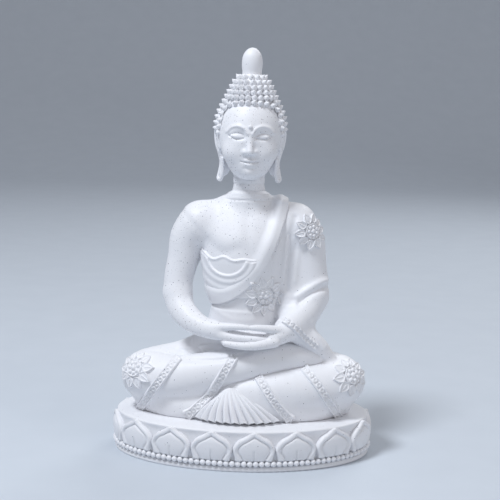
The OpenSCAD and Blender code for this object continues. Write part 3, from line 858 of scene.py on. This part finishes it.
def scatter(name, shape, places, slot):
    """Copies of one shape joined into a piece. A place is a point, a normal, a turn about it and a
    size."""
    base, faces = shape
    points, polygons = [], []
    for at, normal, turn, size in places:
        z = np.array(normal) / np.linalg.norm(normal)
        x = np.cross([0.13, 0.02, 1.0], z)
        x = x / np.linalg.norm(x)
        y = np.cross(z, x)
        c, s = math.cos(turn), math.sin(turn)
        spin = np.array([[c, s, 0], [-s, c, 0], [0, 0, 1]])
        start = len(points) * len(base)
        points.append(at + size * base @ spin @ np.array([x, y, z]))
        polygons += [[v + start for v in face] for face in faces]
    put(name, np.vstack(points), polygons, slot)


hair_dome = join(4.0, hair, bun)
BORDER = across([[-9.3, 84.8], [-9.1, 88.0], [-8.3, 91.2], [-6.2, 93.2], [-3.2, 93.8], [0, 93.9]])
CURL_PITCH = 1.86


def border_places():
    """The row of curls that edges the hair round the face."""
    path = spline(BORDER, 20)
    length = lengths_along(path)
    s = np.linspace(0, length[-1], round(length[-1] / CURL_PITCH) + 1)
    x, z = np.interp(s, length, path[:, 0]), np.interp(s, length, path[:, 1])
    starts = np.column_stack([x, np.full(len(x), AHEAD), z])
    at, normal = settle(starts, np.tile([0, 1.0, 0], (len(x), 1)), hair_dome, ACROSS)
    return [(p, n, 1.7 * i, 0.92) for i, (p, n) in enumerate(zip(at, normal))]


def row_places(low, high):
    """Level rows of curls round the hair, each half a step on from the one below it."""
    places = []
    steps = 240
    around = np.linspace(0, 2 * math.pi, steps + 1)
    out = np.column_stack([np.cos(around), np.sin(around), np.zeros_like(around)])
    z, row = low, 0
    while z < high:
        ring, normal = settle([0, HAIR_AT[1], z] + 16 * out, -out, hair_dome, 15)
        length = lengths_along(ring)
        count = round(length[-1] / CURL_PITCH)
        for k in range(count):
            i = np.searchsorted(length, (k + 0.5 * (row % 2)) * length[-1] / count) % steps
            places.append((ring[i], normal[i] + [0, 0, 0.25], 2.4 * k + row, 1.0))
        z += 0.9 * CURL_PITCH * math.sqrt(1 - np.mean(normal[:, 2]) ** 2)
        row += 1
    return places


hair_border = border_places()


def bare(p):
    """True where a curl would lie on the face, on an ear or on the edging row."""
    on_face = p[1] < 2.0 and p[2] < hairline(p[0]) + 1.2
    on_ear = p[2] < 85 and p[1] < 6.4
    return on_face or on_ear or min(np.linalg.norm(p - b[0]) for b in hair_border) < 1.5


rows = [place for place in row_places(77.6, 101.2) if not bare(place[0])]
on_bun = [bun(place[0][None])[0] < hair(place[0][None])[0] for place in rows]
hair_places = hair_border + [place for place, b in zip(rows, on_bun) if not b]
bun_places = [place for place, b in zip(rows, on_bun) if b]
scatter("hair_curls", curl_shape(), hair_places, "hair")
scatter("ushnisha_curls", curl_shape(), bun_places, "hair")



def ball_rings(radius, half_height, middle, first, last):
    """Rings of radius and height round a ball, between two turns in radians from its foot."""
    turns = np.linspace(first, last, 9)
    return [(radius * math.sin(a), middle - half_height * math.cos(a)) for a in turns]


urna_start = np.array([[0, AHEAD, BROW_Z + 1.1]])
urna_at, urna_normal = settle(urna_start, np.array([[0, 1.0, 0]]), head, ACROSS)
scatter("urna", lathe(ball_rings(0.62, 0.5, 0.2, 0.12, 3.02)), [(urna_at[0], urna_normal[0], 0, 1.0)], "skin")

finial_low, finial_high = box_mm("finial")
finial_h = finial_high[2] - finial_low[2]
FINIAL_PROFILE = [[3.4, -0.6], [3.35, 0.0], [2.95, 0.08], [2.9, 0.2], [3.1, 0.4], [3.05, 0.6], [2.7, 0.76],
                  [1.95, 0.89], [1.05, 0.97], [0.12, 1.0]]
rings = [(r, finial_low[2] - SEAT_Z + h * finial_h) for r, h in spline(FINIAL_PROFILE, 5)]
finial_points, finial_faces = lathe(rings)
finial_points[:, 1] += BUN_AT[1]
put("finial", finial_points, finial_faces, "ornament")

# ---- bands and flowers

BAND_W = 2.8


def band(name, line, field, y, width=BAND_W, pitch=1.72, knot=0.0):
    """A band between two raised borders, with a chain of rings a pitch apart, laid on a field along
    a line in x and z as seen from the front at y. knot swells its lower end."""
    path = spline(line, 12)
    length = lengths_along(path)
    total = length[-1]
    u = np.linspace(0, total, int(total / 0.16 / COARSER))
    v = np.linspace(-width / 2, width / 2, int(width / 0.15 / COARSER) | 1)
    middle = np.column_stack([np.interp(u, length, path[:, i]) for i in (0, 1)])
    along = np.gradient(middle, axis=0)
    along = along / np.linalg.norm(along, axis=1, keepdims=True)
    across = np.column_stack([-along[:, 1], along[:, 0]])
    spread = 1 + knot * ramp(u, total - 2.2, total - 0.6)
    flat = middle[:, None] + across[:, None] * v[None, :, None] * spread[:, None, None]
    aim = np.array([0, 1.0, -0.3])
    aim = aim / np.linalg.norm(aim)
    starts = np.stack([flat[..., 0], np.full(flat.shape[:2], y), flat[..., 1]], -1) - 14 * aim
    border = hump(np.abs(v) - width / 2 + 0.38, 0.26)[None, :]
    near = (u[:, None] + pitch / 2) % pitch - pitch / 2
    ring = np.hypot(near, v[None, :])
    height = 0.25 + 0.58 * border + 0.55 * hump(ring - 0.3 * pitch, 0.2) + 0.4 * hump(ring, 0.2)
    height = height + knot * 0.9 * hump(u - total + 1.0, 0.7)[:, None]
    ends = ramp(u, 0, 0.35) * ramp(total - u, 0, 0.35)
    sides = ramp(width / 2 - np.abs(v), 0, 0.16)
    height = height * ends[:, None] * sides[None, :]
    relief(name, starts, np.broadcast_to(aim, starts.shape), height, field, travel=22)


band("band_right_knee", [[-19.4, 17.6], [-22.8, 12.8], [-27.4, 6.6], [-31.8, 0.7]], right_leg_cloth, -8)
band("band_right_shin", [[-2.6, 19.6], [-5.6, 14.6], [-9.2, 8.6], [-13.0, 4.0], [-17.0, 0.7]],
     right_leg_cloth, -12, knot=0.25)
band("band_left_shin", [[4.4, 14.0], [7.8, 8.6], [11.2, 4.2], [14.8, 0.7]], left_leg_cloth, -14, knot=0.25)
band("band_left_knee", [[18.0, 15.8], [21.8, 11.0], [25.8, 5.4], [29.4, 0.7]], left_leg_cloth, -9)
band("cuff_band", [[11.4, 29.9], [15.3, 27.2], [18.4, 24.5], [21.9, 21.9]], left_lower_folds, -8,
     width=2.2, pitch=1.4)


DISC = 0.4  # radius of a flower's disc, as a share of the flower's
DISC_BEADS = 7


def flower_height(r, a, petals):
    """Height of a flower at a share r of its radius and an angle a: leaf petals with a raised rim and
    a rib, round a disc of beads."""
    sector = 2 * math.pi / petals
    phi = (a + 0.2) % sector - sector / 2
    along = (r - DISC) / (1 - DISC)
    half = 0.215 * np.sin(np.pi * np.clip(along, 0, 1) ** 0.75)
    side = np.abs(r * np.sin(phi))
    inside = ramp(half - side, -0.016, 0.034)
    rim = hump(half - side - 0.035, 0.035)
    rib = hump(side, 0.02) * ramp(along, 0.15, 0.3) * ramp(0.85 - along, 0, 0.15)
    leaf = inside * (0.6 + 0.36 * rim + 0.25 * rib)
    bead_sector = 2 * math.pi / DISC_BEADS
    bead_a = a % bead_sector - bead_sector / 2
    to_bead = np.hypot(r * np.cos(bead_a) - 0.225, r * np.sin(bead_a))
    beads = 0.62 * np.sqrt(np.clip(1 - (to_bead / 0.088) ** 2, 0, 1))
    middle_bead = 0.75 * np.sqrt(np.clip(1 - (r / 0.115) ** 2, 0, 1))
    disc = ramp(DISC - r, -0.01, 0.02) * (0.5 + 0.42 * hump(r - 0.355, 0.035) + beads + middle_bead)
    return np.maximum(leaf, disc)


def flower(name, at, aim, focus, field, radius, petals=10):
    """A flower laid on a field. at is its middle, aim the way in, and focus how far behind the
    surface the lines along which it settles would meet."""
    aim = np.array(aim, float)
    aim = aim / np.linalg.norm(aim)
    right = np.cross(aim, [0, 0, 1.0])
    right = right / np.linalg.norm(right)
    up = np.cross(right, aim)
    rows, cols = int(46 / COARSER), petals * int(30 / COARSER)
    r = np.linspace(0.02, 1.0, rows)[:, None]
    a = np.linspace(0, 2 * math.pi, cols, endpoint=False)[None, :]
    hit, _ = settle(np.array([at], float) - 15 * aim, aim[None], field, ACROSS)
    before = 4  # mm in front of the surface, where the lines start
    spread = (np.cos(a)[..., None] * right + np.sin(a)[..., None] * up) * (r * radius)[..., None]
    starts = hit[0] - before * aim + spread * (1 + before / focus)
    aims = hit[0] + focus * aim - starts
    aims = aims / np.linalg.norm(aims, axis=-1, keepdims=True)
    relief(name, starts, aims, flower_height(r, a, petals) - 0.2, field, wrap=True, travel=14)


def dress(p):
    """The outermost cloth round the chest flower."""
    return np.minimum(np.minimum(robe(p), sash(p)), left_upper_cloth(p))


flower("flower_chest", [6.1, -9, 36.6], [-0.12, 1, 0], 60, dress, 6.4, petals=11)
flower("flower_shoulder", [20.4, -3, 56.2], [-0.5, 1, -0.1], 16, left_upper_folds, 6.0)
flower("flower_right_knee", [-32.8, -8, 14.0], [0.4, 1, -0.3], 12, right_leg_cloth, 6.8)
flower("flower_left_knee", [32.8, -8, 13.6], [-0.4, 1, -0.3], 12, left_leg_cloth, 6.8)

# ---- fan of pleats

PLEATS = 11
FAN_HEM = [[-14.6, -12.6], [-11.4, -15.6], [-7.2, -17.7], [-2.6, -18.7], [2.2, -18.6], [6.8, -17.4],
           [11.2, -15.0]]
FAN_TOP = [[-7.6, -13.0, 7.4], [-6.6, -13.6, 8.8], [-5.4, -14.0, 9.8], [-4.2, -14.1, 10.3],
           [-3.0, -14.1, 10.2], [-1.6, -14.2, 9.6], [-0.2, -14.2, 8.8]]
FAN_MIDDLE = np.array([0.4, -6.0])  # the pleats spread from here, seen from above
FAN_BULGE = 1.1


def fan():
    """Points and faces of the fan: pleats from a curved top edge down to a wavy hem on the seat. u
    runs along the hem and v from the top down."""
    u = np.linspace(0, 1, int(PLEATS * 18 / COARSER))
    v = np.linspace(0, 1, int(40 / COARSER))
    hem, top = spline(FAN_HEM, 30), spline(FAN_TOP, 30)
    share = np.linspace(0, 1, len(hem))
    hem = np.column_stack([np.interp(u, share, column) for column in hem.T])
    top = np.column_stack([np.interp(u, share, column) for column in top.T])
    wave = np.abs((u * PLEATS + 0.25) % 1 * 2 - 1)
    lean = np.cos(2 * math.pi * u * PLEATS)
    outwards = hem - FAN_MIDDLE
    outwards = outwards / np.linalg.norm(outwards, axis=1, keepdims=True)
    foot = hem + outwards * (0.75 * (wave - 0.5))[:, None]
    foot = foot + np.column_stack([-outwards[:, 1], outwards[:, 0]]) * (0.35 * lean)[:, None]
    front = np.empty((len(v), len(u), 3))
    for i, t in enumerate(v):
        ground = foot * t + top[:, :2] * (1 - t) + outwards * FAN_BULGE * math.sin(math.pi * t)
        z = top[:, 2] * (1 - t) + (0.3 + 0.9 * wave) * t**3
        crest = ramp(t, 0.0, 0.7) * (wave - 0.5)
        front[i, :, :2] = ground + outwards * crest[:, None]
        front[i, :, 2] = z + 0.3 * crest
    back = front * [0.86, 0.7, 0.6] + [0, 0, -0.1]
    back[..., 1] = np.maximum(back[..., 1], front[..., 1] + 1.2)
    back[..., 2] = np.minimum(back[..., 2], front[..., 2] - 0.2)
    front[..., 2] = np.maximum(front[..., 2], 0.0)
    back[..., 2] = np.maximum(back[..., 2], -0.05)
    return slab(front, back)


fan_points, fan_faces = fan()
put("skirt_fan", fan_points, outward(fan_points, fan_faces), "robe")

# ---- base

WALL_STEPS = 1440
wall_t = np.linspace(0, 2 * np.pi, WALL_STEPS + 1)
wall_xy = np.column_stack([WALL_A * np.cos(wall_t), WALL_B * np.sin(wall_t)])
wall_s = lengths_along(wall_xy)
WALL_LENGTH = wall_s[-1]


def on_wall(s):
    """Points of the wall's outline at lengths s counted from its front, and the ways it faces."""
    t = np.interp((np.asarray(s) + 0.75 * WALL_LENGTH) % WALL_LENGTH, wall_s, wall_t)
    at = np.stack([WALL_A * np.cos(t), WALL_B * np.sin(t)], -1)
    out = np.stack([WALL_B * np.cos(t), WALL_A * np.sin(t)], -1)
    return at, out / np.linalg.norm(out, axis=-1, keepdims=True)


def oval_solid(name, a, b, profile):
    """A closed oval solid: rows of inset and height above the ground."""
    sides = 240
    around = np.linspace(0, 2 * np.pi, sides, endpoint=False)
    points = np.array([
        [(a - inset) * math.cos(t), (b - inset) * math.sin(t), z - SEAT_Z]
        for inset, z in profile for t in around])
    put(name, points, outward(points, ring_faces(len(profile), sides)), "pedestal")


oval_solid("pedestal_core", WALL_A, WALL_B, [
    (1.5, FOOT_TOP - 0.3), (0.4, FOOT_TOP), (0.3, FOOT_TOP + 2), (0.5, SEAT_Z - 2.6), (0.2, SEAT_Z - 0.9),
    (0.0, SEAT_Z - 0.55), (0.05, SEAT_Z - 0.25), (0.22, SEAT_Z - 0.06), (0.55, SEAT_Z), (1.6, SEAT_Z),
    (8, SEAT_Z)])
oval_solid("pedestal_foot", FOOT_A, FOOT_B, [
    (1.2, 0.0), (0.35, 0.0), (0.1, 0.12), (0.0, 0.4), (0.05, 0.8), (0.25, 1.15), (0.7, FOOT_TOP),
    (3.0, FOOT_TOP)])

PETAL_NODES = sorted(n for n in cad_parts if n.startswith("petal_"))
PETAL_PITCH = WALL_LENGTH / len(PETAL_NODES)
PETAL_FOOT = box_mm(PETAL_NODES[0])[0][2]
PETAL_H = box_mm(PETAL_NODES[0])[1][2] - PETAL_FOOT
PETAL_SHIFT = 0.3  # of a pitch, so that no petal is cut by the middle line


def petal_half(v):
    """Half width of a petal at a share v of its height: an ogee arch."""
    low = 0.5 - 0.05 * (1 - ramp(v, 0.0, 0.4))
    t = np.clip((v - 0.36) / 0.64, 0, 1)
    arch = (1 - t**1.9) ** 0.78 - 0.1 * ramp(t, 0.55, 0.85) * ramp(1 - t, 0, 0.3)
    return PETAL_PITCH * np.minimum(low, 0.5 * arch)


petal_v = np.linspace(0, 1, 60)
petal_edge = spline(np.column_stack([petal_half(petal_v), petal_v * PETAL_H])[::3], 3)


def petal(name, middle):
    """A petal with its middle at a length along the wall: a raised rim and a domed pad inside it. u
    runs across it and v up it."""
    rows, cols = int(34 / COARSER), int(39 / COARSER) | 1
    v = np.linspace(0, 1, rows)[:, None] ** 0.9
    u = np.linspace(-1, 1, cols)[None, :]
    x = u * np.maximum(petal_half(v), 0.02)
    z = np.broadcast_to(v * PETAL_H, x.shape)
    flat = np.column_stack([np.abs(x).ravel(), z.ravel()])
    edge = np.min([np.linalg.norm(flat - p, axis=1) for p in petal_edge], axis=0).reshape(x.shape)
    edge = np.where(np.abs(u) > 0.999, 0, edge)
    rim = 1.25 + 0.9 * (1 - ramp(v, 0, 0.35))
    roll = np.sqrt(np.clip(1 - ((edge - rim / 2) / (rim / 2 + 0.12)) ** 2, 0, 1))
    inner = ramp(edge, rim + 0.12, rim + 0.5)
    dome = np.clip(1 - np.abs(x / (PETAL_PITCH / 2 - rim)) ** 2.4, 0, 1) ** 0.6
    dome = dome * np.clip(1 - np.abs((v - 0.42) / 0.5) ** 2.4, 0, 1) ** 0.6
    crease = hump(x, 0.13) * (1 - ramp(z, 2.4, 3.6)) * inner
    swell = ramp(1 - v, 0.0, 0.4) * ramp(v, -0.2, 0.5)
    height = 0.25 + 0.35 * swell + 0.7 * roll * (1 - inner) + inner * (0.1 + 0.66 * dome) - 0.3 * crease
    height = height * ramp(edge, -0.01, 0.12)
    at, out = on_wall(middle + x)
    front = np.concatenate([at + out * height[..., None], (z + PETAL_FOOT - SEAT_Z)[..., None]], -1)
    back = np.concatenate([at - out * 0.8, (z + PETAL_FOOT - SEAT_Z)[..., None]], -1)
    points, faces = slab(front, back)
    put(name, points, outward(points, faces), "pedestal")


for i, name in enumerate(PETAL_NODES):
    petal(name, (i + PETAL_SHIFT) * PETAL_PITCH)

BEADS = 116
BEAD_Z = (box_mm("bead_border")[0][2] + box_mm("bead_border")[1][2]) / 2 - SEAT_Z

bead_places = []
for i in range(BEADS):
    at, out = on_wall((i + 0.5) * WALL_LENGTH / BEADS)
    bead_places.append((np.array([*(at + out * 0.5), BEAD_Z]), np.array([*out, 0.001]), 0.0, 1.0))
scatter("bead_border", lathe(ball_rings(0.86, 0.8, 0.0, 0.1, 3.04), 14), bead_places, "pedestal")

# ---- floor, light and camera

# From here on lengths are metres.
FLOOR_HALF = 2.0
BEND_AT, BEND_R = 0.8, 0.6
LIT_POINT = Vector((0, 0, 0.06))


def stage_floor():
    """A pale floor that bends up into a backdrop."""
    turns = np.linspace(0, math.pi / 2, 25)
    bend = [(BEND_AT + BEND_R * math.sin(a), BEND_R * (1 - math.cos(a))) for a in turns]
    profile = [(-FLOOR_HALF, 0.0), *bend, (BEND_AT + BEND_R, FLOOR_HALF)]
    corners = [(x, y, z) for x in (-FLOOR_HALF, FLOOR_HALF) for y, z in profile]
    n = len(profile)
    mesh = bpy.data.meshes.new("floor")
    mesh.from_pydata(corners, [], [(i, i + n, i + n + 1, i + 1) for i in range(n - 1)])
    mesh.polygons.foreach_set("use_smooth", [True] * (n - 1))
    floor = bpy.data.objects.new("floor", mesh)
    bpy.context.collection.objects.link(floor)
    material = bpy.data.materials.new("pale_floor")
    material.use_nodes = True
    tree = material.node_tree
    shader = tree.nodes["Principled BSDF"]
    grain = tree.nodes.new("ShaderNodeTexNoise")
    grain.inputs["Scale"].default_value = 60
    tone = tree.nodes.new("ShaderNodeValToRGB")
    tone.color_ramp.elements[0].color = (0.55, 0.60, 0.66, 1)
    tone.color_ramp.elements[1].color = (0.59, 0.64, 0.70, 1)
    place = tree.nodes.new("ShaderNodeTexCoord")
    tree.links.new(place.outputs["Object"], grain.inputs["Vector"])
    tree.links.new(grain.outputs["Fac"], tone.inputs[0])
    tree.links.new(tone.outputs[0], shader.inputs["Base Color"])
    shader.inputs["Roughness"].default_value = 0.7
    mesh.materials.append(material)


def lamp(name, at, size, power, colour):
    """A round soft lamp that shines on the middle of the figure."""
    light = bpy.data.lights.new(name, "AREA")
    light.shape = "DISK"
    light.size = size
    light.energy = power
    light.color = colour
    thing = bpy.data.objects.new(name, light)
    bpy.context.collection.objects.link(thing)
    thing.location = at
    thing.rotation_euler = (LIT_POINT - Vector(at)).to_track_quat("-Z", "Y").to_euler()


def world_light(colour, strength):
    world = bpy.data.worlds.new("studio")
    world.use_nodes = True
    bpy.context.scene.world = world
    background = world.node_tree.nodes["Background"]
    background.inputs[0].default_value = (*colour, 1)
    background.inputs[1].default_value = strength


CAMERA_AT = (0.0009, -0.340, 0.11506)
CAMERA_PITCH = 8.94  # degrees down
CAMERA_ROLL = 0.0285  # radians
CAMERA_LENS = 81.86


def camera():
    data = bpy.data.cameras.new("camera")
    data.sensor_width = 36
    data.lens = CAMERA_LENS
    data.clip_start = 0.01
    thing = bpy.data.objects.new("camera", data)
    bpy.context.collection.objects.link(thing)
    pitch = math.radians(90 - CAMERA_PITCH)
    thing.matrix_world = Matrix.Rotation(pitch, 4, "X") @ Matrix.Rotation(CAMERA_ROLL, 4, "Z")
    thing.location = CAMERA_AT
    bpy.context.scene.camera = thing


stage_floor()
lamp("key", (-0.28, -0.22, 0.66), 0.17, 3.7, (0.90, 0.94, 1.0))
lamp("fill", (0.6, -0.45, 0.45), 0.5, 0.9, (1.0, 0.965, 0.95))
lamp("rim", (0.25, 0.5, 0.5), 0.4, 1.2, (0.96, 0.98, 1.0))
world_light((0.665, 0.665, 0.70), 0.52)
camera()
bpy.context.scene.view_settings.view_transform = "Standard"
